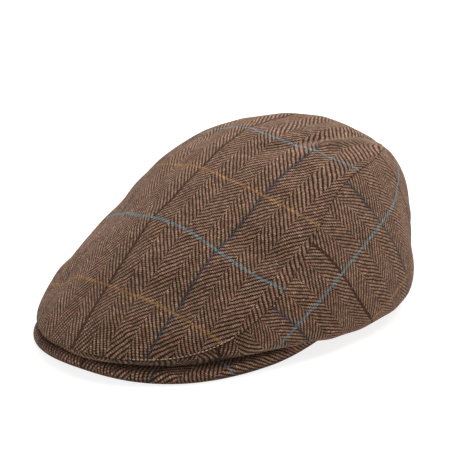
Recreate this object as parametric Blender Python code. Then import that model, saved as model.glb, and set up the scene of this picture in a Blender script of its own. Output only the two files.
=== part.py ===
"""A flat cap in tweed: a top panel, two side panels and a cloth-covered peak.

Metres, +Z up. The peak points to -Y and the wearer's left is +X. The origin is the
middle of the head opening, in the plane that the rim rests on.
Angles go round the crown's highest point: 0 at the front, 90 at the wearer's left,
180 at the back and -90 at the wearer's right.
"""
import functools
import math

import bmesh
import bpy
import numpy as np

# The head opening: a size 58 oval, measured inside the rim
head_length = 0.2016
head_width = 0.1668

# Cloth and hem
cloth_wall = 0.0022
hem_width = 0.0024
seam_gap = 0.0003

# The crown, given by how far it stands out past the rim
crown_height = 0.1048
side_bulge = 0.0182
back_bulge = 0.0105
front_overhang = 0.0052
apex_behind_middle = 0.0160

# The peak, a stiff board covered with the same cloth
peak_depth = 0.0376
peak_thickness = 0.0066
peak_slope = 0.22
peak_spread = math.radians(58)
peak_tip_margin = 0.0057
lip_setback = 0.0070
edge_roundness = 0.40

# How the crown's lip goes from the peak to the floor, as angles from the peak's tip: it
# leaves the peak's edge before the tip, joins the head's oval just past it, and only then
# drops from the peak's top to the floor.
lip_leaves_angle = math.radians(13)
lip_joins_angle = math.radians(4)
lip_drops_angle = math.radians(1)
lip_lands_angle = math.radians(18)

# How finely the solids are cut
columns_round = 72
rows_on_side = 10
rings_on_top = 12
columns_on_peak = 30
points_on_edge = 6

# How the surface is measured: samples on a section, and a short step on the surface
section_samples = 161
short_step = 0.002

# Sizes that follow from those above
rim_half_length = head_length / 2 + hem_width
rim_half_width = head_width / 2 + hem_width
half_width = rim_half_width + side_bulge
back_reach = rim_half_length + back_bulge - apex_behind_middle
peak_reach = rim_half_length + peak_depth + apex_behind_middle
peak_half_width = rim_half_width + peak_tip_margin
front_reach = peak_reach + front_overhang
crown_length = front_reach + back_reach

# Crown sections. Columns: angle, belly reach as a share of the plain oval, belly height
# as a share of the crown height, how far the wall climbs before it leans in, how far the
# top stays flat, the seam's height as a share of the crown height, and how low the cloth
# sags between rim and belly, as a share of the belly's height.
crown_sections = (
    (0, 1.000, 0.120, 0.12, 0.33, 0.138, 0.75),
    (30, 1.015, 0.128, 0.15, 0.38, 0.170, 0.70),
    (60, 1.025, 0.105, 0.25, 0.50, 0.560, 0.15),
    (90, 0.985, 0.160, 0.41, 0.61, 0.770, 0.14),
    (120, 0.888, 0.305, 0.66, 0.69, 0.810, 0.26),
    (150, 0.915, 0.350, 0.74, 0.69, 0.800, 0.26),
    (180, 0.990, 0.355, 0.74, 0.68, 0.790, 0.28),
)

# Peak sections. Columns: angle, outer edge as a share of the plain oval, how much of the
# peak shows past the crown's lip as a share of the lip setback, thickness and lift of the
# edge, both as shares of the peak's thickness. The last rows only steady the curve.
peak_sections = (
    (0, 1.000, 0.40, 1.00, 0.00),
    (25, 1.110, 0.95, 1.00, 0.00),
    (46, 1.060, 1.10, 0.95, 0.04),
    (60, 0.970, 0.25, 0.60, 0.35),
    (90, 0.940, 0.20, 0.60, 0.40),
    (180, 0.940, 0.20, 0.60, 0.40),
)

# Dents and swells. Columns: angle, place up the crown from belly to top, length and width
# as shares of the crown's length, turn of the long axis away from the slope, and depth as
# a share of the crown height, below zero where the cloth sinks in. They fade out on the
# way down from the climb in dents_whole_from to the rim.
dents_whole_from = 0.8
dents = (
    (68, 0.80, 0.070, 0.022, 80, -0.016),
    (119, 0.61, 0.110, 0.026, 68, -0.020),
    (165, 0.78, 0.120, 0.090, 90, 0.008),
    (20, 0.32, 0.085, 0.048, 80, -0.020),
    (39, 0.44, 0.075, 0.038, 70, -0.016),
    (-3, 0.46, 0.060, 0.050, 0, -0.009),
    (44, 0.30, 0.050, 0.035, 70, 0.010),
    (-54, 0.66, 0.100, 0.050, 90, 0.020),
    (-35, 0.46, 0.110, 0.060, 90, -0.034),
    (-18, 0.24, 0.060, 0.030, 90, -0.012),
    (61, 0.24, 0.055, 0.040, 0, 0.008),
    (69, 0.04, 0.060, 0.045, 90, -0.011),
    (132, 0.38, 0.100, 0.070, 90, 0.028),
    (106, 0.16, 0.045, 0.045, 0, -0.012),
    (-110, 0.40, 0.080, 0.050, 60, -0.014),
)

cloth_colour = (0.135, 0.082, 0.053, 1.0)
peak_colour = (0.120, 0.072, 0.047, 1.0)
cloth_roughness = 0.92
sharp_angle = math.radians(40)


def smooth_step(value, start, end):
    """Go from 0 to 1 between start and end, level at both."""
    share = np.clip((value - start) / (end - start), 0.0, 1.0)
    return share * share * (3.0 - 2.0 * share)


@functools.lru_cache(maxsize=None)
def curve_parts(rows, column):
    """Work out the smooth closed curve through a column of rows, alike left and right."""
    knots = [math.radians(row[0]) for row in rows]
    heights = [row[column] for row in rows]
    knots += [2 * math.pi - knot for knot in knots[-2:0:-1]]
    heights += heights[-2:0:-1]
    count = len(knots)
    spans = [(knots[(i + 1) % count] - knots[i]) % (2 * math.pi) for i in range(count)]
    rises = [(heights[(i + 1) % count] - heights[i]) / spans[i] for i in range(count)]
    matrix = np.zeros((count, count))
    for i in range(count):
        matrix[i, i - 1] += spans[i - 1]
        matrix[i, i] += 2 * (spans[i - 1] + spans[i])
        matrix[i, (i + 1) % count] += spans[i]
    bends = np.linalg.solve(matrix, [6 * (rises[i] - rises[i - 1]) for i in range(count)])
    return np.array(knots), np.array(heights), np.array(spans), np.array(rises), bends


def round_curve(rows, column, angles):
    """Read a column of rows at any angles."""
    knots, heights, spans, rises, bends = curve_parts(rows, column)
    turned = np.mod(angles, 2 * math.pi)
    place = np.searchsorted(knots, turned, side="right") - 1
    span = spans[place]
    along = turned - knots[place]
    bend = bends[place]
    next_bend = bends[(place + 1) % len(knots)]
    slope = rises[place] - span * (2 * bend + next_bend) / 6
    cube = (next_bend - bend) / (6 * span)
    return heights[place] + along * (slope + along * (bend / 2 + along * cube))


def plain_oval(angles, front, side, back):
    """Distance from the top's axis to an oval with these three reaches."""
    long_reach = np.where(np.cos(angles) > 0, front, back)
    return 1 / np.sqrt((np.sin(angles) / side) ** 2 + (np.cos(angles) / long_reach) ** 2)


def head_oval(angles, half_length, half_wide):
    """Distance from the top's axis to the head oval, whose middle lies in front of it."""
    side = np.sin(angles)
    ahead = -np.cos(angles)
    a = (side / half_wide) ** 2 + (ahead / half_length) ** 2
    b = 2 * apex_behind_middle * ahead / half_length ** 2
    c = (apex_behind_middle / half_length) ** 2 - 1
    return (np.sqrt(b * b - 4 * a * c) - b) / (2 * a)


def peak_edge(angles):
    """Distance from the top's axis to the peak's outer edge."""
    plain = plain_oval(angles, peak_reach, peak_half_width, peak_half_width)
    return plain * round_curve(peak_sections, 1, angles)


def peak_heights(angles, reach):
    """Underside and top of the peak at a distance from the top's axis."""
    thickness = peak_thickness * round_curve(peak_sections, 3, angles)
    lift = peak_thickness * np.maximum(round_curve(peak_sections, 4, angles), 0.0)
    shoulder = peak_edge(angles) - edge_roundness * thickness
    under = lift + peak_slope * (shoulder - reach)
    return under, under + thickness


def crown_rim(angles):
    """Reach, height and tilt of the crown's lower edge: on the peak, then on the floor."""
    round_side = np.abs(angles)
    off_peak = smooth_step(round_side, peak_spread - lip_leaves_angle, peak_spread + lip_joins_angle)
    setback = lip_setback * round_curve(peak_sections, 2, angles)
    on_floor = head_oval(angles, rim_half_length, rim_half_width)
    reach = (1 - off_peak) * (peak_edge(angles) - setback) + off_peak * on_floor
    seated = 1 - smooth_step(round_side, peak_spread + lip_drops_angle, peak_spread + lip_lands_angle)
    top_of_peak = peak_heights(angles, reach)[1]
    return reach, seated * (top_of_peak + seam_gap), seated * peak_slope


def plain_crown(angles, climb):
    """Crown before its dents. climb is 0 at the rim, 1 at the belly and 2 at the top."""
    rim, rim_height, _ = crown_rim(angles)
    belly = plain_oval(angles, front_reach, half_width, back_reach)
    belly = belly * round_curve(crown_sections, 1, angles)
    belly_height = crown_height * round_curve(crown_sections, 2, angles)
    climbs = round_curve(crown_sections, 3, angles)
    flat = round_curve(crown_sections, 4, angles)
    low = np.clip(climb, 0, 1)
    high = np.clip(climb - 1, 0, 1)
    turn_height = belly_height * round_curve(crown_sections, 6, angles)
    left = belly_height + climbs * (crown_height - belly_height)
    low_reach = (1 - low) ** 2 * rim + (1 - (1 - low) ** 2) * belly
    low_height = (1 - low) ** 2 * rim_height + 2 * low * (1 - low) * turn_height + low ** 2 * belly_height
    high_reach = ((1 - high) ** 3 + 3 * high * (1 - high) ** 2 + 3 * high ** 2 * (1 - high) * flat) * belly
    high_height = (
        (1 - high) ** 3 * belly_height
        + 3 * high * (1 - high) ** 2 * left
        + (3 * high ** 2 * (1 - high) + high ** 3) * crown_height
    )
    reach = np.where(climb < 1, low_reach, high_reach)
    height = np.where(climb < 1, low_height, high_height)
    return np.stack([reach * np.sin(angles), apex_behind_middle - reach * np.cos(angles), height], -1)


def unit(vectors):
    """Make each vector one long."""
    return vectors / np.maximum(np.linalg.norm(vectors, axis=-1, keepdims=True), 1e-12)


def way_out(surface, angles, climb):
    """Direction straight out of a surface, from two short steps on it."""
    climb = np.clip(climb, short_step, 2 - 8 * short_step)
    round_step = surface(angles + short_step, climb) - surface(angles - short_step, climb)
    up_step = surface(angles, climb + short_step) - surface(angles, climb - short_step)
    return unit(np.cross(round_step, up_step))


@functools.lru_cache(maxsize=None)
def dent_frame(turn_round, up, turn):
    """Middle of a dent on the plain crown, with its long, short and outward directions."""
    angle = np.array([math.radians(turn_round)])
    climb = np.array([1.0 + up])
    middle = plain_crown(angle, climb)[0]
    out = way_out(plain_crown, angle, climb)[0]
    uphill = unit(plain_crown(angle, climb + short_step)[0] - middle)
    level = np.cross(out, uphill)
    long_axis = math.cos(math.radians(turn)) * uphill + math.sin(math.radians(turn)) * level
    return middle, long_axis, np.cross(out, long_axis), out


def crown(angles, climb):
    """Outer face of the crown, with its dents and swells."""
    points = plain_crown(angles, climb)
    pushed = np.zeros(points.shape[:-1])
    for turn_round, up, length, width, turn, depth in dents:
        middle, long_axis, short_axis, out = dent_frame(turn_round, up, turn)
        away = points - middle
        along = away @ long_axis / (length * crown_length)
        across = away @ short_axis / (width * crown_length)
        through = away @ out / ((length + width) / 2 * crown_length)
        pushed += depth * crown_height * np.exp(-(along ** 2 + across ** 2 + through ** 2))
    pushed = pushed * smooth_step(climb, 0.0, dents_whole_from)
    return points + way_out(plain_crown, angles, climb) * pushed[..., None]


@functools.lru_cache(maxsize=None)
def section_places(angle):
    """Climbs and lengths along one section, and the lengths of the places named on it."""
    fine = np.linspace(0, 2, section_samples)
    line = plain_crown(np.full(section_samples, angle), fine)
    lengths = np.concatenate([[0], np.cumsum(np.linalg.norm(np.diff(line, axis=0), axis=1))])
    seam_height = crown_height * round_curve(crown_sections, 5, np.array([angle]))[0]
    seam = np.interp(seam_height, line[:, 2], lengths)
    places = {
        "rim": 0.0,
        "under seam": seam - seam_gap / 2,
        "seam": seam,
        "over seam": seam + seam_gap / 2,
        "top": lengths[-1],
    }
    return fine, lengths, places


def climbs_between(angle, start, end, count):
    """Evenly spaced climbs on one section, from one named place to another."""
    fine, lengths, places = section_places(angle)
    return np.interp(np.linspace(places[start], places[end], count + 1), lengths, fine)


def make_object(name, points, faces, colour):
    """Make one closed named solid with its own material. Its faces wind outward."""
    mesh = bpy.data.meshes.new(name)
    body = bmesh.new()
    corners = [body.verts.new(point) for point in points]
    for face in faces:
        body.faces.new([corners[i] for i in face])
    body.to_mesh(mesh)
    body.free()
    mesh.shade_smooth()
    mesh.set_sharp_from_angle(angle=sharp_angle)
    material = bpy.data.materials.new(name + "_cloth")
    material.use_nodes = True
    surface = material.node_tree.nodes["Principled BSDF"]
    surface.inputs["Base Color"].default_value = colour
    surface.inputs["Roughness"].default_value = cloth_roughness
    surface.inputs["Metallic"].default_value = 0.0
    mesh.materials.append(material)
    solid = bpy.data.objects.new(name, mesh)
    bpy.context.scene.collection.objects.link(solid)
    return solid


def swept_solid(name, loops, colour):
    """Join section loops side by side and close the two ends."""
    size = len(loops[0])
    points = [point for loop in loops for point in loop]
    faces = end_caps(size, len(points) - size)
    for i in range(len(loops) - 1):
        here = i * size
        there = here + size
        for j in range(size):
            k = (j + 1) % size
            faces.append((here + j, there + j, there + k, here + k))
    return make_object(name, points, faces, colour)


def end_caps(size, last_start):
    """Close both ends of a swept wall with quads across its two long sides."""
    faces = []
    for start, turned in ((0, False), (last_start, True)):
        low, high = 0, size - 1
        while high - low > 2:
            face = (start + low, start + low + 1, start + high - 1, start + high)
            faces.append(face[::-1] if turned else face)
            low += 1
            high -= 1
        if high - low == 2:
            face = (start + low, start + low + 1, start + high)
            faces.append(face[::-1] if turned else face)
    return faces


def top_panel():
    """The large upper panel, from the seam to the top, closed by one point in and out."""
    angles = np.linspace(-math.pi, math.pi, columns_round, endpoint=False)
    climbs = np.array([climbs_between(a, "over seam", "top", rings_on_top)[:-1] for a in angles])
    grid = np.repeat(angles[:, None], rings_on_top, axis=1)
    outer = crown(grid, climbs)
    facing = climbs.copy()
    facing[:, 0] = [climbs_between(a, "seam", "top", 1)[0] for a in angles]
    inner = outer - cloth_wall * way_out(crown, grid, facing)
    top_out = unit(way_out(crown, angles, np.full(columns_round, 2.0)).mean(axis=0))
    top = crown(np.array([0.0]), np.array([2.0]))[0]
    points = list(outer.reshape(-1, 3)) + list(inner.reshape(-1, 3))
    points += [top, top - cloth_wall * top_out]
    under = columns_round * rings_on_top
    faces = []
    for i in range(columns_round):
        here = i * rings_on_top
        there = (i + 1) % columns_round * rings_on_top
        for j in range(rings_on_top - 1):
            faces.append((here + j, there + j, there + j + 1, here + j + 1))
            faces.append((under + here + j + 1, under + there + j + 1, under + there + j, under + here + j))
        end = rings_on_top - 1
        faces.append((here + end, there + end, 2 * under))
        faces.append((under + there + end, under + here + end, 2 * under + 1))
        faces.append((there, here, under + here, under + there))
    return make_object("top_panel", points, faces, cloth_colour)


def side_panel(name, side):
    """One side panel, from the front seam to the back seam. side is 1 for the left."""
    first = 0.0 if side > 0 else -math.pi
    loops = []
    for angle in np.linspace(first, first + math.pi, columns_round // 2 + 1):
        climbs = climbs_between(angle, "rim", "under seam", rows_on_side)
        here = np.full(len(climbs), angle)
        outer = crown(here, climbs)
        facing = climbs.copy()
        facing[-1] = climbs_between(angle, "seam", "top", 1)[0]
        inner = outer - cloth_wall * way_out(crown, here, facing)
        tilt = crown_rim(here[:1])[2][0]
        inward = np.array([-math.sin(angle), math.cos(angle), tilt])
        foot = outer[0] + hem_width * inward
        loop = np.concatenate([outer, inner[:0:-1], [foot]])
        loop[:, 0] = side * np.maximum(side * loop[:, 0], seam_gap / 2)
        loops.append(loop)
    return swept_solid(name, loops, cloth_colour)


def peak():
    """The peak, a crescent with a rounded outer edge that slopes down to the front."""
    angles = np.linspace(-peak_spread, peak_spread, columns_on_peak + 1)
    edge = peak_edge(angles)
    inner = head_oval(angles, head_length / 2, head_width / 2)
    lip = crown_rim(angles)[0]
    turns = np.linspace(0, math.pi, points_on_edge)
    loops = []
    for i, angle in enumerate(angles):
        here = np.array([angle])
        under, over = (value[0] for value in peak_heights(here, edge[i:i + 1]))
        thickness = over - under
        rounding = edge_roundness * thickness
        shoulder = edge[i] - rounding
        inside = [inner[i], (inner[i] + lip[i]) / 2, min(lip[i], shoulder - rounding)]
        outline = [(reach, 0.0) for reach in inside]
        outline += [(shoulder + rounding * math.sin(t), (1 - math.cos(t)) / 2) for t in turns]
        outline += [(reach, 1.0) for reach in inside[::-1]]
        loop = []
        for reach, share in outline:
            height = peak_heights(here, np.array([reach]))[0][0] + share * thickness
            x = reach * math.sin(angle)
            y = apex_behind_middle - reach * math.cos(angle)
            loop.append((x, y, height))
        loops.append(loop)
    return swept_solid("peak", loops, peak_colour)


def main():
    """Empty the scene and make the four pieces."""
    for thing in list(bpy.data.objects):
        bpy.data.objects.remove(thing, do_unlink=True)
    top_panel()
    side_panel("side_panel_left", 1)
    side_panel("side_panel_right", -1)
    peak()


main()
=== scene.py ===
# %% [markdown]
# # A flat cap in herringbone tweed
# The cap is sewn from four pieces: a large top panel and two side panels of woven cloth,
# which meet at the front and at the back, and a short stiff peak that the same cloth
# covers. It lies by itself on a pale table.
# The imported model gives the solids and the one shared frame: metres, +Z up, the peak
# towards -Y, the wearer's left at +X. Each piece here takes the place of one of them.

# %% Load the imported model
import functools
import math

import bpy
import numpy as np
from mathutils import Matrix, Vector


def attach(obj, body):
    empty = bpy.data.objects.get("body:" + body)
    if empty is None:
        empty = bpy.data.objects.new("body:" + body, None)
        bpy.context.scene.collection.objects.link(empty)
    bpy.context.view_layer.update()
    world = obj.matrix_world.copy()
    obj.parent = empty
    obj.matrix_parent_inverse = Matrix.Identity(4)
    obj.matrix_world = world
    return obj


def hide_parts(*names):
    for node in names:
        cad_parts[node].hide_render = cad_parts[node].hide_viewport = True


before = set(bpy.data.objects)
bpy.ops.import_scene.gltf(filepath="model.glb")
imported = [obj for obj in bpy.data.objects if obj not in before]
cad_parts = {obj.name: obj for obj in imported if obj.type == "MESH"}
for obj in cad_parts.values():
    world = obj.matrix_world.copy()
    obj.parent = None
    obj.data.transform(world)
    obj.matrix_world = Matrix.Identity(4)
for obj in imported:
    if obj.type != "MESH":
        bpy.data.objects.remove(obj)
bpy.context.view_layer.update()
print("nodes:", sorted(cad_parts))

# %% [markdown]
# ## The camera
# The cap is seen from its front left, a little from above, by a long lens from about
# 0.8 m. A camera could be aimed with a Track To constraint. Its matrix is written from two
# angles and a roll instead, so that the outline falls where it does in the photograph.

# %% Camera
camera_target = np.array([0.0, -0.020, 0.050])
camera_round = math.radians(43.3)
camera_up = math.radians(17.25)
camera_roll = math.radians(-3.45)
camera_distance = 0.831
picture_size = 450
pixels_per_metre = 1680.0
sensor_width = 36.0

back = np.array([
    math.sin(camera_round) * math.cos(camera_up),
    -math.cos(camera_round) * math.cos(camera_up),
    math.sin(camera_up),
])
level = np.array([math.cos(camera_round), math.sin(camera_round), 0.0])
upright = np.cross(back, level)
right = math.cos(camera_roll) * level + math.sin(camera_roll) * upright
above = math.cos(camera_roll) * upright - math.sin(camera_roll) * level
place = camera_target + camera_distance * back

lens = bpy.data.cameras.new("camera")
lens.sensor_width = sensor_width
lens.lens = pixels_per_metre * camera_distance / picture_size * sensor_width
lens.shift_x = 0.0019
lens.shift_y = 0.0024
camera = bpy.data.objects.new("camera", lens)
turn = Matrix(np.column_stack([right, above, back]).tolist())
camera.matrix_world = Matrix.Translation(Vector(place)) @ turn.to_4x4()
bpy.context.scene.collection.objects.link(camera)
bpy.context.scene.camera = camera
print("lens %.1f mm" % lens.lens)

# %% [markdown]
# ## Helpers for materials
# A colour given here is an sRGB hex value, but shader nodes work in linear light, so
# one function turns each. One more adds a node, sets it and links it.

# %% Colour and node helpers
def linear(hex_colour):
    """Turn an sRGB hex colour into linear red, green, blue and alpha."""
    shares = [int(hex_colour[i:i + 2], 16) / 255 for i in (1, 3, 5)]
    light = [s / 12.92 if s <= 0.04045 else ((s + 0.055) / 1.055) ** 2.4 for s in shares]
    return (*light, 1.0)


def add(tree, kind, inputs=(), out=0, **settings):
    """Add a node, set and link its inputs by name or number, and return one of its outputs."""
    node = tree.nodes.new(kind)
    for name, value in settings.items():
        setattr(node, name, value)
    for name, value in dict(inputs).items():
        if isinstance(value, bpy.types.NodeSocket):
            tree.links.new(value, node.inputs[name])
        else:
            node.inputs[name].default_value = value
    return node if out is None else node.outputs[out]


# %% [markdown]
# ## Table and light
# The cap lies on a plain white table in soft daylight. The floor is one large plane, which
# gives off a little light of its own and so stays white. It could be a curved sweep, but
# seen from above, as here, the plane fills the picture. The light is a bright even sky with
# one large soft lamp high behind the cap, so its top is lit and the sides that face the
# camera fall gently into shade.

# %% Floor
def flat_plane(name, half):
    """A square floor at the height of the table."""
    mesh = bpy.data.meshes.new(name)
    corners = [(-half, -half, 0), (half, -half, 0), (half, half, 0), (-half, half, 0)]
    mesh.from_pydata(corners, [], [(0, 1, 2, 3)])
    plane = bpy.data.objects.new(name, mesh)
    bpy.context.scene.collection.objects.link(plane)
    return plane


floor_half = 6.0
floor = flat_plane("floor", floor_half)
matte = bpy.data.materials.new("white_paper_sweep")
matte.use_nodes = True
paper = matte.node_tree.nodes["Principled BSDF"]
paper.inputs["Base Color"].default_value = linear("#9a9a9a")
paper.inputs["Emission Color"].default_value = linear("#ffffff")
paper.inputs["Emission Strength"].default_value = 0.82
paper.inputs["Roughness"].default_value = 0.9
paper.inputs["Specular IOR Level"].default_value = 0.1
floor.data.materials.append(matte)
print("floor %.0f m wide" % (2 * floor_half))

# %% Light
sky = bpy.data.worlds.new("even_studio_sky")
bpy.context.scene.world = sky
sky.use_nodes = True
sky_light = sky.node_tree.nodes["Background"]
sky_light.inputs["Color"].default_value = linear("#ffffff")
sky_light.inputs["Strength"].default_value = 0.34
bpy.context.scene.view_settings.view_transform = "Standard"


def soft_lamp(name, place, aim, size, power):
    """A square area lamp aimed at a point."""
    data = bpy.data.lights.new(name, "AREA")
    data.shape = "SQUARE"
    data.size = size
    data.energy = power
    lamp = bpy.data.objects.new(name, data)
    aimed = (Vector(aim) - Vector(place)).to_track_quat("-Z", "Y").to_matrix()
    lamp.matrix_world = Matrix.Translation(Vector(place)) @ aimed.to_4x4()
    bpy.context.scene.collection.objects.link(lamp)
    return lamp


overhead = soft_lamp("overhead_softbox", place=(-0.28, 1.05, 1.6), aim=(0, 0, 0.03), size=2.2, power=76.0)
print("sky %.2f, lamp %.0f W" % (sky_light.inputs["Strength"].default_value, overhead.data.energy))

# %% [markdown]
# ## The law of the cap
# The cap has no straight line to measure from, so its shape is a law in polar form round
# the highest point of the crown. At each angle a section goes from the rim out to the
# belly and up to the top, and small tables say how that section changes round the cap.
# The same law, with the same numbers, gave the solids. Only the softest hollows and
# waves, the fold at the back, the rolled edges and the last shape of the lip over the peak
# are added here.

# %% Sizes of the cap
head_length = 0.2016
head_width = 0.1668
cloth_wall = 0.0022
hem_width = 0.0024
seam_gap = 0.0003
crown_height = 0.1048
side_bulge = 0.0182
back_bulge = 0.0105
front_overhang = 0.0052
apex_behind_middle = 0.0160
peak_depth = 0.0376
peak_thickness = 0.0066
peak_slope = 0.22
peak_spread = math.radians(58)
peak_tip_margin = 0.0057
lip_setback = 0.0070
edge_roundness = 0.40
lip_leaves_angle = math.radians(13)
lip_joins_angle = math.radians(4)
lip_drops_angle = math.radians(1)
lip_lands_angle = math.radians(18)
section_samples = 161
short_step = 0.002
steps_short_of_top = 8

rim_half_length = head_length / 2 + hem_width
rim_half_width = head_width / 2 + hem_width
half_width = rim_half_width + side_bulge
back_reach = rim_half_length + back_bulge - apex_behind_middle
peak_reach = rim_half_length + peak_depth + apex_behind_middle
peak_half_width = rim_half_width + peak_tip_margin
front_reach = peak_reach + front_overhang
crown_length = front_reach + back_reach
print("crown %.1f mm long, %.1f mm wide" % (crown_length * 1000, half_width * 2000))

# %% Tables of sections and dents
# Angle, belly reach, belly height, climb before it leans in, flat part of the top, seam
# height, sag between rim and belly, each a share of the plain oval or of the height.
crown_sections = (
    (0, 1.000, 0.120, 0.12, 0.33, 0.138, 0.75),
    (30, 1.015, 0.128, 0.15, 0.38, 0.170, 0.70),
    (60, 1.025, 0.105, 0.25, 0.50, 0.560, 0.15),
    (90, 0.985, 0.160, 0.41, 0.61, 0.770, 0.14),
    (120, 0.888, 0.305, 0.66, 0.69, 0.810, 0.26),
    (150, 0.915, 0.350, 0.74, 0.69, 0.800, 0.26),
    (180, 0.990, 0.355, 0.74, 0.68, 0.790, 0.28),
)
# Angle, outer edge, how much of the peak shows, thickness, lift of the edge.
peak_sections = (
    (0, 1.000, 0.40, 1.00, 0.00),
    (25, 1.110, 0.95, 1.00, 0.00),
    (46, 1.060, 1.10, 0.95, 0.04),
    (60, 0.970, 0.25, 0.60, 0.35),
    (90, 0.940, 0.20, 0.60, 0.40),
    (180, 0.940, 0.20, 0.60, 0.40),
)
# Angle, and how much further back than in the solids the crown's lip sits, in millimetres.
lip_moves = (
    (0, 2.2),
    (10, 1.6),
    (20, -0.5),
    (28, -1.7),
    (36, -1.0),
    (46, 0.0),
    (60, 0.0),
    (90, 0.0),
    (180, 0.0),
)
# The dents fade out from this far up the section down to the rim.
dents_whole_from = 0.8
# Angle, place up the crown, length, width, turn of the long axis, depth.
dents = (
    (68, 0.80, 0.070, 0.022, 80, -0.016),
    (119, 0.61, 0.110, 0.026, 68, -0.020),
    (165, 0.78, 0.120, 0.090, 90, 0.008),
    (20, 0.32, 0.085, 0.048, 80, -0.020),
    (39, 0.44, 0.075, 0.038, 70, -0.016),
    (-3, 0.46, 0.060, 0.050, 0, -0.009),
    (44, 0.30, 0.050, 0.035, 70, 0.010),
    (-54, 0.66, 0.100, 0.050, 90, 0.020),
    (-35, 0.46, 0.110, 0.060, 90, -0.034),
    (-18, 0.24, 0.060, 0.030, 90, -0.012),
    (61, 0.24, 0.055, 0.040, 0, 0.008),
    (69, 0.04, 0.060, 0.045, 90, -0.011),
    (132, 0.38, 0.100, 0.070, 90, 0.028),
    (106, 0.16, 0.045, 0.045, 0, -0.012),
    (-110, 0.40, 0.080, 0.050, 60, -0.014),
)
# Softer places, too small for the solids: middle, reach and push outwards, in millimetres.
soft_places = (
    (81, 59, 37, 11, -1.7),
    (74, 65, 51, 11, 0.6),
    (63, 74, 64, 11, 1.3),
    (38, 77, 88, 11, -1.4),
    (21, 75, 95, 11, -0.8),
    (-27, 39, 102, 11, -0.4),
    (-39, 33, 99, 11, -1.1),
    (-53, 0, 88, 11, 1.0),
    (-55, -22, 79, 11, 0.5),
    (-64, -28, 68, 13, 0.8),
    (-73, -35, 56, 11, -0.5),
    (-75, -45, 50, 11, 1.1),
    (-70, -77, 39, 11, -1.6),
    (-68, -93, 30, 11, 1.0),
    (97, -30, 4, 16, -1.0),
    (98, -3, 4, 19, -2.1),
    (97, 30, 11, 17, -0.6),
    (90, -62, 11, 16, -2.4),
    (79, -82, 10, 14, -1.0),
    (-14, -143, 9, 16, -1.4),
)
print("%d dents and %d softer places" % (len(dents), len(soft_places)))


# %% Smooth curves through the tables
def smooth_step(value, start, end):
    """Go from 0 to 1 between start and end, level at both."""
    share = np.clip((value - start) / (end - start), 0.0, 1.0)
    return share * share * (3.0 - 2.0 * share)


@functools.lru_cache(maxsize=None)
def curve_parts(rows, column):
    """Work out the smooth closed curve through a column of rows, alike left and right."""
    knots = [math.radians(row[0]) for row in rows]
    heights = [row[column] for row in rows]
    knots += [2 * math.pi - knot for knot in knots[-2:0:-1]]
    heights += heights[-2:0:-1]
    count = len(knots)
    spans = [(knots[(i + 1) % count] - knots[i]) % (2 * math.pi) for i in range(count)]
    rises = [(heights[(i + 1) % count] - heights[i]) / spans[i] for i in range(count)]
    matrix = np.zeros((count, count))
    for i in range(count):
        matrix[i, i - 1] += spans[i - 1]
        matrix[i, i] += 2 * (spans[i - 1] + spans[i])
        matrix[i, (i + 1) % count] += spans[i]
    bends = np.linalg.solve(matrix, [6 * (rises[i] - rises[i - 1]) for i in range(count)])
    return np.array(knots), np.array(heights), np.array(spans), np.array(rises), bends


def round_curve(rows, column, angles):
    """Read a column of rows at any angles."""
    knots, heights, spans, rises, bends = curve_parts(rows, column)
    turned = np.mod(angles, 2 * math.pi)
    place = np.searchsorted(knots, turned, side="right") - 1
    span = spans[place]
    along = turned - knots[place]
    bend = bends[place]
    next_bend = bends[(place + 1) % len(knots)]
    slope = rises[place] - span * (2 * bend + next_bend) / 6
    cube = (next_bend - bend) / (6 * span)
    return heights[place] + along * (slope + along * (bend / 2 + along * cube))


at_side = np.array([math.pi / 2])
print("seam at the side: %.2f of the height" % round_curve(crown_sections, 5, at_side)[0])

# %% Ovals, peak and rim
def plain_oval(angles, front, side, rear):
    """Distance from the top's axis to an oval with these three reaches."""
    long_reach = np.where(np.cos(angles) > 0, front, rear)
    return 1 / np.sqrt((np.sin(angles) / side) ** 2 + (np.cos(angles) / long_reach) ** 2)


def head_oval(angles, half_length, half_wide):
    """Distance from the top's axis to the head oval, whose middle lies in front of it."""
    side = np.sin(angles)
    ahead = -np.cos(angles)
    a = (side / half_wide) ** 2 + (ahead / half_length) ** 2
    b = 2 * apex_behind_middle * ahead / half_length ** 2
    c = (apex_behind_middle / half_length) ** 2 - 1
    return (np.sqrt(b * b - 4 * a * c) - b) / (2 * a)


def peak_edge(angles):
    """Distance from the top's axis to the peak's outer edge."""
    plain = plain_oval(angles, peak_reach, peak_half_width, peak_half_width)
    return plain * round_curve(peak_sections, 1, angles)


def peak_heights(angles, reach):
    """Underside and top of the peak at a distance from the top's axis."""
    thickness = peak_thickness * round_curve(peak_sections, 3, angles)
    lift = peak_thickness * np.maximum(round_curve(peak_sections, 4, angles), 0.0)
    shoulder = peak_edge(angles) - edge_roundness * thickness
    under = lift + peak_slope * (shoulder - reach)
    return under, under + thickness


def crown_rim(angles):
    """Reach, height and tilt of the crown's lower edge: on the peak, then on the floor."""
    round_side = np.abs(angles)
    off_peak = smooth_step(round_side, peak_spread - lip_leaves_angle, peak_spread + lip_joins_angle)
    setback = lip_setback * round_curve(peak_sections, 2, angles)
    setback = setback + 0.001 * round_curve(lip_moves, 1, angles)
    on_floor = head_oval(angles, rim_half_length, rim_half_width)
    reach = (1 - off_peak) * (peak_edge(angles) - setback) + off_peak * on_floor
    seated = 1 - smooth_step(round_side, peak_spread + lip_drops_angle, peak_spread + lip_lands_angle)
    top_of_peak = peak_heights(angles, reach)[1]
    return reach, seated * (top_of_peak + seam_gap), seated * peak_slope


print("rim at the side: %.1f mm out" % (1000 * crown_rim(at_side)[0][0]))

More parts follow.
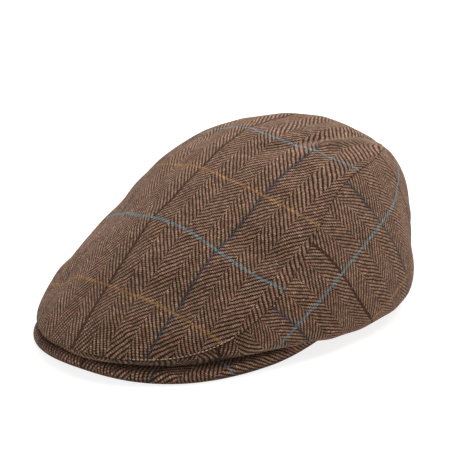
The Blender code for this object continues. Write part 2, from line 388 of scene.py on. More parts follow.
# %% The crown's surface
def plain_crown(angles, climb):
    """Crown before its dents. climb is 0 at the rim, 1 at the belly and 2 at the top."""
    rim, rim_height, _ = crown_rim(angles)
    belly = plain_oval(angles, front_reach, half_width, back_reach)
    belly = belly * round_curve(crown_sections, 1, angles)
    belly_height = crown_height * round_curve(crown_sections, 2, angles)
    climbs = round_curve(crown_sections, 3, angles)
    flat = round_curve(crown_sections, 4, angles)
    low = np.clip(climb, 0, 1)
    high = np.clip(climb - 1, 0, 1)
    turn_height = belly_height * round_curve(crown_sections, 6, angles)
    left = belly_height + climbs * (crown_height - belly_height)
    low_reach = (1 - low) ** 2 * rim + (1 - (1 - low) ** 2) * belly
    low_height = (1 - low) ** 2 * rim_height + 2 * low * (1 - low) * turn_height + low ** 2 * belly_height
    high_reach = lean_in(high, flat) * belly
    high_height = (
        (1 - high) ** 3 * belly_height
        + 3 * high * (1 - high) ** 2 * left
        + (3 * high ** 2 * (1 - high) + high ** 3) * crown_height
    )
    reach = np.where(climb < 1, low_reach, high_reach)
    height = np.where(climb < 1, low_height, high_height)
    return np.stack([reach * np.sin(angles), apex_behind_middle - reach * np.cos(angles), height], -1)


def lean_in(high, flat):
    """How far out the crown still is, as a share of its belly, on the way up from there."""
    return (1 - high) ** 3 + 3 * high * (1 - high) ** 2 + 3 * high ** 2 * (1 - high) * flat


def unit(vectors):
    """Make each vector one long."""
    return vectors / np.maximum(np.linalg.norm(vectors, axis=-1, keepdims=True), 1e-12)


def way_out(surface, angles, climb):
    """Direction straight out of a surface, from two short steps on it."""
    climb = np.clip(climb, short_step, 2 - steps_short_of_top * short_step)
    round_step = surface(angles + short_step, climb) - surface(angles - short_step, climb)
    up_step = surface(angles, climb + short_step) - surface(angles, climb - short_step)
    return unit(np.cross(round_step, up_step))


print("belly at the side: %.1f mm out" % (1000 * plain_crown(at_side, np.array([1.0]))[0, 0]))

# %% Dents and swells
@functools.lru_cache(maxsize=None)
def dent_frame(turn_round, up, turn):
    """Middle of a dent on the plain crown, with its long, short and outward directions."""
    angle = np.array([math.radians(turn_round)])
    climb = np.array([1.0 + up])
    middle = plain_crown(angle, climb)[0]
    out = way_out(plain_crown, angle, climb)[0]
    uphill = unit(plain_crown(angle, climb + short_step)[0] - middle)
    level_way = np.cross(out, uphill)
    long_axis = math.cos(math.radians(turn)) * uphill + math.sin(math.radians(turn)) * level_way
    return middle, long_axis, np.cross(out, long_axis), out


def crown(angles, climb):
    """Outer face of the crown, with its dents and swells."""
    points = plain_crown(angles, climb)
    pushed = np.zeros(points.shape[:-1])
    for turn_round, up, length, width, turn, depth in dents:
        middle, long_axis, short_axis, out = dent_frame(turn_round, up, turn)
        away = points - middle
        along = away @ long_axis / (length * crown_length)
        across = away @ short_axis / (width * crown_length)
        through = away @ out / ((length + width) / 2 * crown_length)
        pushed += depth * crown_height * np.exp(-(along ** 2 + across ** 2 + through ** 2))
    pushed = pushed * smooth_step(climb, 0.0, dents_whole_from)
    for x, y, z, reach, push in soft_places:
        away = np.linalg.norm(1000 * points - (x, y, z), axis=-1) / reach
        pushed += 0.001 * push * np.exp(-away ** 2)
    return points + way_out(plain_crown, angles, climb) * pushed[..., None]


@functools.lru_cache(maxsize=None)
def section_places(angle):
    """Climbs, heights and lengths along one section, and where the seam crosses it."""
    fine = np.linspace(0, 2, section_samples)
    line = plain_crown(np.full(section_samples, angle), fine)
    lengths = np.concatenate([[0], np.cumsum(np.linalg.norm(np.diff(line, axis=0), axis=1))])
    seam_height = crown_height * round_curve(crown_sections, 5, np.array([angle]))[0]
    seam = np.interp(seam_height, line[:, 2], lengths)
    return fine, line[:, 2], lengths, seam


print("rim to seam at the side: %.1f mm of cloth" % (1000 * section_places(math.pi / 2)[3]))

# %% [markdown]
# ## How the cloth lies on the cap
# Tweed is woven flat, and its columns and check lines keep their distances on the cap.
# Each panel therefore needs a map from the cap to the flat cloth. Blender could unwrap it,
# but then the lines fall where the unwrapping puts them. Here the map follows how the panel
# was cut: across the cap for one direction, and true length over the top for the other.
# The map is kept as a UV layer in millimetres of cloth.

# %% Cloth map of the top panel
# Lengths along the cloth are counted from this line across the cap.
cut_line = -0.0747
# Out to the sides the cloth bends back, and takes up more of its width.
bend_from = 35.0
bend_back = 0.0089
widening = 1.17e-5
# Where the cloth is pulled out of line: place, reach, and pull across and along the cap,
# in millimetres.
cloth_pulls = (
    (-58, -60, 26, 60, 0.0, -10.0),
    (-26, -112, 26, 22, 0.0, 4.5),
    (72, 22, 26, 34, 0.0, -9.0),
    (70, -66, 16, 30, 0.0, 2.5),
    (9, -115, 16, 18, 0.0, 3.5),
    (-35, -66, 16, 18, 0.0, -3.7),
    (52, -31, 16, 18, 0.0, -1.4),
    (11, 5, 16, 18, 0.0, 2.4),
    (-35, -111, 16, 18, 0.0, -2.5),
    (17, -37, 20, 18, 0.0, 2.6),
    (53, -108, 16, 18, 0.0, -1.4),
    (24, 5, 16, 18, 0.0, 1.2),
    (24, -114, 16, 18, 0.0, 1.2),
    (45, 14, 16, 18, 0.0, -2.8),
    (44, -83, 20, 20, 0.7, 0.0),
    (-4, -85, 20, 20, 3.7, 0.0),
    (44, -102, 20, 20, -1.3, 0.0),
    (45, -57, 20, 20, -1.8, 0.0),
    (-70, -48, 22, 30, 0.0, -9.0),
    (-56, -107, 14, 18, 0.0, 3.2),
    (-44, -110, 6, 14, 0.0, 1.6),
    (-28, -112, 8, 14, 0.0, -1.7),
)
map_rows = 261
map_columns = 121
map_half_width = 0.098
map_farthest = 0.25
height_halvings = 34
limit_halvings = 40
# The last row or column of a table can't be read from, because each place has a next one.
last_place = 1.001
# Past these places behind and in front, the cap takes up less length of cloth.
squeeze_behind = 92.0
squeeze_share = 0.86
tuck_ahead = 68.0
tuck_share = 0.70
# A soft fold lies across the back of the top. These are points of it in the plan.
fold_line = (
    (34.0, 8.0),
    (38.7, 16.3),
    (41.8, 20.8),
    (45.3, 28.6),
    (47.3, 38.4),
    (48.1, 50.0),
    (49.0, 61.0),
    (50.6, 72.0),
)
fold_begins = (14.0, 30.0)
fold_fades = (46.0, 70.0)
# The fold moves the cloth across on both sides of its crest.
fold_takes_middle = -3.5
fold_takes_side = 3.5
fold_reach_middle = 30.0
fold_reach_side = 16.0


def fold_place(points):
    """How far inside the fold each point is, in millimetres, and how strong it is there."""
    x = 1000 * points[..., 0]
    y = 1000 * points[..., 1]
    fold_x, fold_y = np.array(fold_line).T
    inside = np.interp(y, fold_y, fold_x) - x
    return inside, smooth_step(y, *fold_begins) * (1 - smooth_step(y, *fold_fades))


def pulled(places, pulls):
    """How far the cloth is pulled across and along at each place."""
    total = np.zeros(places.shape)
    for x, y, x_reach, y_reach, across, along in pulls:
        away = ((places[..., 0] - x) / x_reach) ** 2 + ((places[..., 1] - y) / y_reach) ** 2
        total += np.exp(-away)[..., None] * (across, along)
    return total


def plan_height(x, y):
    """Height of the plain crown above a point of the plan, found by halving."""
    angles = np.arctan2(x, apex_behind_middle - y)
    share = np.hypot(x, apex_behind_middle - y)
    share = share / plain_oval(angles, front_reach, half_width, back_reach)
    share = share / round_curve(crown_sections, 1, angles)
    flat = round_curve(crown_sections, 4, angles)
    low = np.zeros_like(share)
    high = np.ones_like(share)
    for _ in range(height_halvings):
        middle = (low + high) / 2
        outside = lean_in(middle, flat) > share
        low = np.where(outside, middle, low)
        high = np.where(outside, high, middle)
    return plain_crown(angles, 1 + low)[..., 2]


def plan_limit(x, sign):
    """Where the plan of the belly ends, in front of (-1) or behind (1) each x."""
    near = np.full_like(x, apex_behind_middle)
    far = near + sign * map_farthest
    for _ in range(limit_halvings):
        middle = (near + far) / 2
        angles = np.arctan2(x, apex_behind_middle - middle)
        belly = plain_oval(angles, front_reach, half_width, back_reach)
        belly = belly * round_curve(crown_sections, 1, angles)
        inside = np.hypot(x, apex_behind_middle - middle) < belly
        near = np.where(inside, middle, near)
        far = np.where(inside, far, middle)
    return near


map_x = np.linspace(-map_half_width, map_half_width, map_columns)
map_front = plan_limit(map_x, -1)
map_back = plan_limit(map_x, 1)
map_share = (1 - np.cos(np.linspace(0, math.pi, map_rows))) / 2
map_y = map_front[:, None] + (map_back - map_front)[:, None] * map_share
map_z = plan_height(np.repeat(map_x[:, None], map_rows, axis=1), map_y)
map_length = np.cumsum(np.hypot(np.diff(map_y, axis=1), np.diff(map_z, axis=1)), axis=1)
map_length = np.concatenate([np.zeros((map_columns, 1)), map_length], axis=1)
for column in range(map_columns):
    map_length[column] -= np.interp(cut_line, map_y[column], map_length[column])


def top_cloth(points):
    """Place on the flat cloth, in millimetres, of points of the plain top panel."""
    x = points[..., 0]
    column = (x / map_half_width + 1) / 2 * (map_columns - 1)
    column = np.clip(column, 0, map_columns - last_place)
    left = column.astype(int)
    share = column - left
    front = np.interp(x, map_x, map_front)
    rear = np.interp(x, map_x, map_back)
    along = np.clip((points[..., 1] - front) / (rear - front), 0, 1)
    row = np.arccos(1 - 2 * along) / math.pi * (map_rows - 1)
    row = np.clip(row, 0, map_rows - last_place)
    low = row.astype(int)
    part = row - low
    near = map_length[left, low] * (1 - part) + map_length[left, low + 1] * part
    far = map_length[left + 1, low] * (1 - part) + map_length[left + 1, low + 1] * part
    length = 1000 * (near * (1 - share) + far * share)
    across = 1000 * x
    bent = bend_back * np.maximum(np.abs(across) - bend_from, 0) ** 2
    flat_cloth = np.stack([across * (1 + widening * across ** 2), length - bent], -1)
    plan = 1000 * points[..., :2]
    flat_cloth += pulled(plan, cloth_pulls)
    past = np.maximum(flat_cloth[..., 1] - squeeze_behind, 0.0)
    flat_cloth[..., 1] -= (1 - squeeze_share) * past
    past = np.maximum(-flat_cloth[..., 1] - tuck_ahead, 0.0)
    flat_cloth[..., 1] += (1 - tuck_share) * past
    inside, strength = fold_place(points)
    taken = np.where(
        inside > 0,
        fold_takes_middle * np.exp(-(inside / fold_reach_middle) ** 2),
        fold_takes_side * np.exp(-(inside / fold_reach_side) ** 2),
    )
    flat_cloth[..., 0] += taken * strength
    return flat_cloth


print("cloth over the top at the middle: %.0f mm" % (1000 * np.ptp(map_length[map_columns // 2])))

# %% Cloth map of the side panels
# The side's cloth lies turned on the cap, and its lines spread, bow and sag there.
side_turn = math.radians(23.6)
side_origin = (-26.3, 44.4)
side_fan = 0.00352
side_bow = -9.72e-4
side_squeeze = 1.246
side_sag = 5.0
side_sag_between = (15.0, 75.0)
side_steps = 41
# Lengths up a section are counted from this height, which its rising part goes through.
level_height = 0.013
rising_samples = 100
# In front, where the panel narrows to a band, the map turns into one of the band's own.
band_map_between = (90.0, 120.0)
band_lean = 0.2
band_across_from = 38.7
band_along_from = -5.0
# Where the cloth is pulled out of line, as for the top panel.
side_pulls = (
    (-15, -2, 22, 22, 0.0, 1.1),
    (-49, 0, 22, 22, 0.0, -0.7),
    (81, -3, 22, 22, 0.0, 1.9),
    (-33, -2, 22, 22, 0.0, 1.5),
    (-5, -17, 22, 22, 3.6, 0.0),
    (47, 34, 22, 22, -1.7, 0.0),
    (-46, 12, 22, 22, 1.2, 0.0),
    (-3, -35, 22, 22, 1.5, 0.0),
    (-49, -26, 22, 22, 3.1, 0.0),
    (1, 19, 22, 22, -1.4, 0.0),
    (136, -48, 22, 22, -1.2, 0.0),
)


def side_cloth(angles, climbs, side):
    """Place on the flat cloth, in millimetres, of a grid of points of a side panel."""
    steps = np.linspace(0, 2, side_steps)
    grid = plain_crown(
        np.repeat(angles[:, None], side_steps, axis=1),
        np.repeat(steps[None], len(angles), axis=0),
    )
    round_length = np.cumsum(np.linalg.norm(np.diff(grid, axis=0), axis=2), axis=0)
    round_length = np.concatenate([np.zeros((1, side_steps)), round_length])
    from_first = np.abs(angles) if side > 0 else math.pi - np.abs(angles)
    middle = np.array([np.interp(math.pi / 2, from_first, row) for row in round_length.T])
    level = np.zeros(climbs.shape)
    upward = np.zeros(climbs.shape)
    for i, angle in enumerate(angles):
        fine, heights, lengths, _ = section_places(angle)
        start = np.interp(level_height, heights[:rising_samples], lengths[:rising_samples])
        level[i] = 1000 * side * np.interp(climbs[i], steps, round_length[i] - middle)
        upward[i] = 1000 * (np.interp(climbs[i], fine, lengths) - start)
    across = math.cos(side_turn) * level + math.sin(side_turn) * upward - side_origin[0]
    along = math.cos(side_turn) * upward - math.sin(side_turn) * level - side_origin[1]
    along = along * side_squeeze
    across = across * (1 - side_fan * along)
    along = along - side_bow * across ** 2
    along = along + side_sag * smooth_step(-across, *side_sag_between)
    on_band = smooth_step(-level, *band_map_between)
    band_across = level + band_lean * upward + band_across_from
    band_along = upward - band_lean * level + band_along_from
    across = across + on_band * (band_across - across)
    along = along + on_band * (band_along - along)
    flat_cloth = np.stack([across, along], -1)
    return flat_cloth + pulled(flat_cloth, side_pulls)


print("side panels cut %.1f degrees off their lower edge" % math.degrees(side_turn))

# %% [markdown]
# ## The tweed
# Herringbone is a two-over-two twill whose lean turns round every few threads. The dark
# threads run along the columns and the pale ones across, so each small cell of the
# pattern shows one or the other. Coloured threads, two or three side by side, make the
# overcheck, with a line every 45 mm. An image could carry this, but the weave is a rule, so
# nodes work it out from the cloth map: which thread is on top, its colour and its height.
# Wool yarn is carded from mixed fibres and the cloth is brushed: the eye gets a matte
# cloth whose threads change tone along their length, with a pale bloom of fibres where it
# turns away, which is the shader's sheen.

# %% Weave sizes and colours
# Sizes are in millimetres of cloth. Warp ends run along the columns, weft picks across.
column_width = 11.25
ends_per_column = 17
warp_pitch = column_width / ends_per_column
weft_pitch = 0.85
check_spacing = 45.0
check_half_warp = 1.5 * warp_pitch
check_half_weft = weft_pitch

tweed_colours = {
    "dark": linear("#2c170c"),
    "dark_red": linear("#602f1a"),
    "pale": linear("#b4997f"),
    "pale_grey": linear("#8e6c5c"),
    "maroon": linear("#330f05"),
    "navy": linear("#1c2d3e"),
    "blue": linear("#86a3a8"),
    "orange": linear("#bc905d"),
    "pale_crest_colour": linear("#9c7f6d"),
}
print("weave: %.2f by %.2f mm" % (warp_pitch, weft_pitch))

# %% Which yarn is on top
# Yarns are never quite straight: they wander by a few tenths of a millimetre.
wander_scale = 0.16
wander_reach = 1.6


def wandering(put, cloth):
    """Places across and along the cloth, with the wander of the yarns."""
    wander = put("ShaderNodeTexNoise", {"Vector": cloth, "Scale": wander_scale, "Detail": 5.0}, out="Color")
    wander = put("ShaderNodeVectorMath", {0: wander, 1: (0.5, 0.5, 0.5)}, operation="SUBTRACT")
    wander = put("ShaderNodeVectorMath", {0: wander, "Scale": wander_reach}, operation="SCALE")
    wandered = put("ShaderNodeVectorMath", {0: cloth, 1: wander}, operation="ADD")
    parts = put("ShaderNodeSeparateXYZ", {0: wandered}, out=None)
    return parts.outputs[0], parts.outputs[1]


def woven(put, across, along):
    """Two over, two under: where the weft is on top, its number, and the yarns' height."""
    # Which end and which pick this is. Ends are counted back in every second column.
    folded = put("ShaderNodeMath", {0: across, 1: column_width}, operation="PINGPONG")
    end = put("ShaderNodeMath", {0: folded, 1: warp_pitch}, operation="DIVIDE")
    pick = put("ShaderNodeMath", {0: along, 1: weft_pitch}, operation="DIVIDE")
    end_number = put("ShaderNodeMath", {0: end}, operation="FLOOR")
    pick_number = put("ShaderNodeMath", {0: pick}, operation="FLOOR")

    # The twill steps by one at each end, and each second column starts two picks later.
    column = put("ShaderNodeMath", {0: across, 1: column_width}, operation="DIVIDE")
    column = put("ShaderNodeMath", {0: column}, operation="FLOOR")
    turned = put("ShaderNodeMath", {0: column, 1: 2.0}, operation="FLOORED_MODULO")
    shifted = put("ShaderNodeMath", {0: turned, 1: 2.0, 2: pick_number}, operation="MULTIPLY_ADD")
    step = put("ShaderNodeMath", {0: shifted, 1: end_number}, operation="SUBTRACT")
    step = put("ShaderNodeMath", {0: step, 1: 4.0}, operation="FLOORED_MODULO")
    weft_on_top = put("ShaderNodeMath", {0: step, 1: 1.5}, operation="LESS_THAN")

    # A yarn is round across itself, and highest halfway along each float.
    warp_ridge = put("ShaderNodeMath", {0: end, 1: 0.5}, operation="PINGPONG")
    weft_ridge = put("ShaderNodeMath", {0: pick, 1: 0.5}, operation="PINGPONG")
    ridge = put("ShaderNodeMix", {0: weft_on_top, 2: warp_ridge, 3: weft_ridge}, data_type="FLOAT")
    slant = put("ShaderNodeMath", {0: turned, 1: 2.0, 2: pick}, operation="MULTIPLY_ADD")
    slant = put("ShaderNodeMath", {0: slant, 1: end}, operation="SUBTRACT")
    slant = put("ShaderNodeMath", {0: slant, 1: math.pi / 2}, operation="MULTIPLY")
    slant = put("ShaderNodeMath", {0: slant}, operation="SINE")
    float_height = put("ShaderNodeMath", {0: slant}, operation="ABSOLUTE")
    return weft_on_top, pick_number, ridge, float_height


print("the twill repeats every %.2f mm" % (4 * warp_pitch))

# %% Colours of the yarns
# Yarns are told apart by this step in the noise, and change this fast along themselves.
yarn_apart = 7.31
yarn_change = 0.22
yarn_mix = (0.35, 0.65)
# How much a coloured thread crowds the yarns that it crosses, because it is thicker.
crowding = {"maroon": 0.75, "navy": 0.5, "blue": 0.26, "orange": 0.3}


def carded(put, number, length, first, second):
    """Colour along a yarn, which changes slowly, as in a carded mix of fibres."""
    apart = put("ShaderNodeMath", {0: number, 1: yarn_apart}, operation="MULTIPLY")
    slow = put("ShaderNodeMath", {0: length, 1: yarn_change}, operation="MULTIPLY")
    spot = put("ShaderNodeCombineXYZ", {0: apart, 1: slow})
    mix = put("ShaderNodeTexNoise", {"Vector": spot, "Scale": 1.0, "Detail": 3.0})
    share = put("ShaderNodeMapRange", {0: mix, 1: yarn_mix[0], 2: yarn_mix[1]})
    ends = {6: tweed_colours[first], 7: tweed_colours[second]}
    return put("ShaderNodeMix", {0: share, **ends}, out=2, data_type="RGBA")


def overchecked(put, across, along, yarns):
    """Change the colours of warp and weft along the lines of the overcheck."""
    warp_line = put("ShaderNodeMath", {0: across, 1: check_spacing}, operation="PINGPONG")
    weft_line = put("ShaderNodeMath", {0: along, 1: check_spacing}, operation="PINGPONG")
    for own, other, distance, test, limit, colour in (
        ("warp", "weft", warp_line, "LESS_THAN", check_half_warp, "maroon"),
        ("warp", "weft", warp_line, "GREATER_THAN", check_spacing - check_half_warp, "navy"),
        ("weft", "warp", weft_line, "LESS_THAN", check_half_weft, "blue"),
        ("weft", "warp", weft_line, "GREATER_THAN", check_spacing - check_half_weft, "orange"),
    ):
        here = put("ShaderNodeMath", {0: distance, 1: limit}, operation=test)
        crowd = put("ShaderNodeMath", {0: here, 1: crowding[colour]}, operation="MULTIPLY")
        for kind, share in ((own, here), (other, crowd)):
            yarns[kind] = put(
                "ShaderNodeMix", {0: share, 6: yarns[kind], 7: tweed_colours[colour]},
                out=2, data_type="RGBA",
            )
    return yarns


print("overcheck: a line every %.0f mm" % check_spacing)

# %% Shade of the yarns and the cloth
# The hollow between two yarns is painted darker, as shade: where it starts and ends, and its two shades.
ridge_between = (0.02, 0.45)
ridge_shades = (0.42, 1.08)
# Each float takes the dye a little differently: its spread in colour and in shade.
float_tint = 0.16
float_shades = (0.74, 1.26)
# Unevenness of the brushed wool, per millimetre: scale, detail, darkest and brightest.
wool_noises = (
    (1.7, 4.0, 0.66, 1.34),
    (0.28, 3.0, 0.75, 1.25),
    (0.09, 2.0, 0.88, 1.12),
    (0.035, 2.0, 0.93, 1.07),
)
wool_between = (0.3, 0.7)
# Painted shade from the mesh makes the cloth darker: the value at which it is darkest, and that shade.
painted_shade_most = 1.6
painted_shade_darkest = 0.12


def tinted(put, colour, chance):
    """Colour of each float, a little off that of its yarn."""
    spread = (float_tint,) * 3
    lowest = (1 - float_tint / 2,) * 3
    tint = put("ShaderNodeVectorMath", {0: chance, 1: spread, 2: lowest}, operation="MULTIPLY_ADD")
    return put("ShaderNodeVectorMath", {0: colour, 1: tint}, operation="MULTIPLY")


def shaded(put, cloth, ridge, chance, brightness):
    """Shade of the cloth at each place, with its painted shade, and the last and widest of its uneven
    patches.
    """
    start, end = ridge_between
    hollow, high = (brightness * shade for shade in ridge_shades)
    shade = put("ShaderNodeMapRange", {0: ridge, 1: start, 2: end, 3: hollow, 4: high})
    darkest, brightest = float_shades
    float_shade = put("ShaderNodeMapRange", {0: chance, 3: darkest, 4: brightest})
    shade = put("ShaderNodeMath", {0: shade, 1: float_shade}, operation="MULTIPLY")
    start, end = wool_between
    for scale, detail, darkest, brightest in wool_noises:
        fibre = put("ShaderNodeTexNoise", {"Vector": cloth, "Scale": scale, "Detail": detail})
        mottle = put("ShaderNodeMapRange", {0: fibre, 1: start, 2: end, 3: darkest, 4: brightest})
        shade = put("ShaderNodeMath", {0: shade, 1: mottle}, operation="MULTIPLY")
    # The attribute read here is painted shade: under edges, in the gap over the peak and in shaded patches.
    painted_shade = put("ShaderNodeAttribute", out="Fac", attribute_name="painted_shade")
    painted_shade = put("ShaderNodeMapRange", {0: painted_shade, 2: painted_shade_most, 3: 1.0, 4: painted_shade_darkest})
    return put("ShaderNodeMath", {0: shade, 1: painted_shade}, operation="MULTIPLY"), mottle


print("%d scales of unevenness in the wool" % len(wool_noises))

# %% Tweed material
float_rise = 0.55
mottle_rise = 0.3
relief_strength = 0.8
relief_depth = 0.0004


def tweed(name, brightness):
    """Wool herringbone tweed, woven and brushed. brightness darkens or lightens it all."""
    material = bpy.data.materials.new(name)
    material.use_nodes = True
    put = functools.partial(add, material.node_tree)
    cloth = put("ShaderNodeUVMap", uv_map="cloth")
    across, along = wandering(put, cloth)
    weft_on_top, pick_number, ridge, float_height = woven(put, across, along)
    warp_number = put("ShaderNodeMath", {0: across, 1: warp_pitch}, operation="DIVIDE")
    warp_number = put("ShaderNodeMath", {0: warp_number}, operation="FLOOR")
    yarns = overchecked(put, across, along, {
        "warp": carded(put, warp_number, along, "dark", "dark_red"),
        "weft": carded(put, pick_number, across, "pale", "pale_grey"),
    })
    colour = put(
        "ShaderNodeMix", {0: weft_on_top, 6: yarns["warp"], 7: yarns["weft"]},
        out=2, data_type="RGBA",
    )
    cell = put("ShaderNodeCombineXYZ", {0: warp_number, 1: pick_number})
    chance = put("ShaderNodeTexWhiteNoise", {0: cell}, out=None, noise_dimensions="2D").outputs
    colour = tinted(put, colour, chance["Color"])
    shade, mottle = shaded(put, cloth, ridge, chance["Value"], brightness)
    colour = put("ShaderNodeVectorMath", {0: colour, "Scale": shade}, operation="SCALE")

    # Along the fold's crest a paler colour veils the weave: rubbed fibres and a painted highlight.
    fuzz_and_highlight = put("ShaderNodeAttribute", out="Fac", attribute_name="fuzz_and_highlight")
    colour = put(
        "ShaderNodeMix", {0: fuzz_and_highlight, 6: colour, 7: tweed_colours["pale_crest_colour"]},
        out=2, data_type="RGBA",
    )

    # The height of the yarns, and a little of the widest patches, only tilts the light.
    height = put("ShaderNodeMath", {0: float_height, 1: float_rise, 2: ridge}, operation="MULTIPLY_ADD")
    height = put("ShaderNodeMath", {0: mottle, 1: mottle_rise, 2: height}, operation="MULTIPLY_ADD")
    relief = {"Strength": relief_strength, "Distance": relief_depth, "Height": height}
    relief = put("ShaderNodeBump", relief)

    surface = material.node_tree.nodes["Principled BSDF"]
    material.node_tree.links.new(colour, surface.inputs["Base Color"])
    material.node_tree.links.new(relief, surface.inputs["Normal"])
    surface.inputs["Roughness"].default_value = 0.95
    surface.inputs["Specular IOR Level"].default_value = 0.12
    surface.inputs["Sheen Weight"].default_value = 0.14
    surface.inputs["Sheen Roughness"].default_value = 0.5
    surface.inputs["Sheen Tint"].default_value = linear("#dcbaa4")
    print("%s: %d nodes" % (name, len(material.node_tree.nodes)))
    return material


crown_tweed = tweed("wool_herringbone_tweed_brushed", 1.0)
peak_tweed = tweed("wool_tweed_drawn_over_board", 0.98)

# %% [markdown]
# ## Making a panel
# A panel is a cloth wall: an outer face that follows the law of the cap, and an inner face
# one cloth thickness further in. Solidify could thicken a sheet, but the edges of a sewn
# panel turn in, so the outer face here rolls under by itself near each seam. Even taut
# cloth is a little uneven, so it gets long low waves and shorter ones.

# %% Edge roll and slack
seam_roll = 0.0008
rim_roll = 0.0018
# Each panel goes on a little past the seam, and the top panel stands a little proud of it.
seam_overlap = 0.0002
seam_lap = 0.0005
seam_lap_reach = 0.006
# Length and height of the waves, and how near a seam they fade out.
slack_waves = ((0.030, 0.00035), (0.016, 0.00020))
slack_margin = 0.02
wave_count = 14
wave_spread = (0.7, 1.5)


def rolled(distance, radius):
    """How deep a rounded edge has dropped, at a distance from where it ends."""
    away = np.clip(1 - distance / radius, 0, 1)
    return radius * (1 - np.sqrt(1 - away ** 2))


def ripples(points, seed, wave):
    """Smooth unevenness of about this wavelength, mostly between -1 and 1, always the same."""
    chance = np.random.default_rng(seed)
    total = np.zeros(points.shape[:-1])
    for _ in range(wave_count):
        direction = unit(chance.normal(size=3))
        length = wave * chance.uniform(*wave_spread)
        total += np.sin(points @ direction * 2 * math.pi / length + chance.uniform(0, 2 * math.pi))
    return total / math.sqrt(wave_count)


def slack_cloth(points, seed):
    """Soft unevenness of sewn cloth: long low waves and short ones."""
    return sum(
        height * ripples(points, seed + turn, wave)
        for turn, (wave, height) in enumerate(slack_waves)
    )


for wave, height in slack_waves:
    print("slack: waves of %.0f mm, %.2f mm high" % (1000 * wave, 1000 * height))

# %% Faces of a panel and the piece itself
def end_cap(start, size, turned):
    """Faces across one end ring, each joining places that lie opposite each other."""
    faces = []
    low, high = 0, size - 1
    while high - low > 2:
        faces.append((start + low, start + low + 1, start + high - 1, start + high))
        low += 1
        high -= 1
    if high - low == 2:
        faces.append((start + low, start + low + 1, start + high))
    return [face[::-1] for face in faces] if turned else faces


def ring_faces(rings, size):
    """Faces of a closed strip: rings of one size side by side, with a cap at each end."""
    faces = []
    for i in range(rings - 1):
        here = i * size
        there = here + size
        for j in range(size):
            after = (j + 1) % size
            faces.append((here + j, there + j, there + after, here + after))
    return faces + end_cap(0, size, False) + end_cap((rings - 1) * size, size, True)


def add_piece(name, points, faces, cloth, material, painted_shade, fuzz_and_highlight=None):
    """Make one closed piece, clear of the table, with its cloth map, its painted shade and its paler crest.
    """
    points = points.reshape(-1, 3)
    points[:, 2] = np.maximum(points[:, 2], 0.0)
    mesh = bpy.data.meshes.new(name)
    mesh.from_pydata(points.tolist(), [], faces)
    layer = mesh.uv_layers.new(name="cloth")
    corners = np.zeros(len(mesh.loops), dtype=int)
    mesh.loops.foreach_get("vertex_index", corners)
    layer.data.foreach_set("uv", cloth.reshape(-1, 2)[corners].astype(np.float32).ravel())
    fuzz_and_highlight = np.zeros(len(points)) if fuzz_and_highlight is None else fuzz_and_highlight
    for kind, values in (("painted_shade", painted_shade), ("fuzz_and_highlight", fuzz_and_highlight)):
        painted_layers = mesh.attributes.new(kind, "FLOAT", "POINT")
        painted_layers.data.foreach_set("value", values.astype(np.float32).ravel())
    mesh.materials.append(material)
    mesh.shade_smooth()
    mesh.update()
    piece = bpy.data.objects.new(name, mesh)
    bpy.context.scene.collection.objects.link(piece)
    print("%s: %d faces" % (name, len(faces)))
    return piece


print("a cap over a ring of 8 places has %d faces" % len(end_cap(0, 8, False)))

# %% [markdown]
# ## Painted shade on the cloth
# Where the cloth lies in shade, in soft patches on the crown, under the top's edge, in the
# gap over the peak and under the peak's front edge, its colour is painted darker. This could
# be painted by hand on the mesh. Here small tables of places give each point a value, which
# the tweed reads as an attribute, so the painted shade stays on the cloth.

# %% Painted shade: patches and band
# Patches of painted shade: middle and reach of each place, in millimetres, and how
# much darker it is.
painted_shade_patches = (
    (1, -99, 52, 22, 0.27),
    (4, -116, 41, 14, 0.12),
    (41, -101, 39, 15, 0.30),
    (66, -55, 52, 13, 0.25),
    (26, 46, 100, 22, 0.26),
)
# A side panel is the band over the peak where it is lower than the first of these, and
# isn't where it is higher than the second.
band_heights = (0.014, 0.034)
# The band's painted shade fades to a fifth of itself on the wearer's right, between these angles.
band_fade = 0.8
band_fade_angles = (math.radians(-2), math.radians(10))


def patch_painted_shade(points):
    """How much darker the painted shade of the patches makes the cloth at each point."""
    total = np.zeros(points.shape[:-1])
    for x, y, z, reach, darker in painted_shade_patches:
        away = np.linalg.norm(1000 * points - (x, y, z), axis=-1) / reach
        total += darker * np.exp(-away ** 2)
    return total


def band_shown(angles):
    """How much of its painted shade the band over the peak keeps: all on the wearer's left of the middle,
    little on the right.
    """
    return 1 - band_fade * (1 - smooth_step(angles, *band_fade_angles))


# These are patches of painted shade.
print("%d places where the nap lies the other way" % len(painted_shade_patches))

# %% [markdown]
# ## The top panel
# The large top panel is one piece from the seam up to the highest point of the crown. It
# could be a sphere pushed into shape, but its poles and rows would then run across the cut.
# Its rows start at the seam instead and close in on the top, and lie closer together where
# the cloth turns under. A soft fold is added across the back, and its crest is painted paler:
# rubbed fibres and a painted highlight.

# %% Points of the top panel
top_columns = 360
top_rings = 180
# Share of the rings' spacing that is even. The rest grows from the seam to the top.
edge_share = 0.30
# The rings at the very edge take their outward direction from this one.
steady_ring = 3

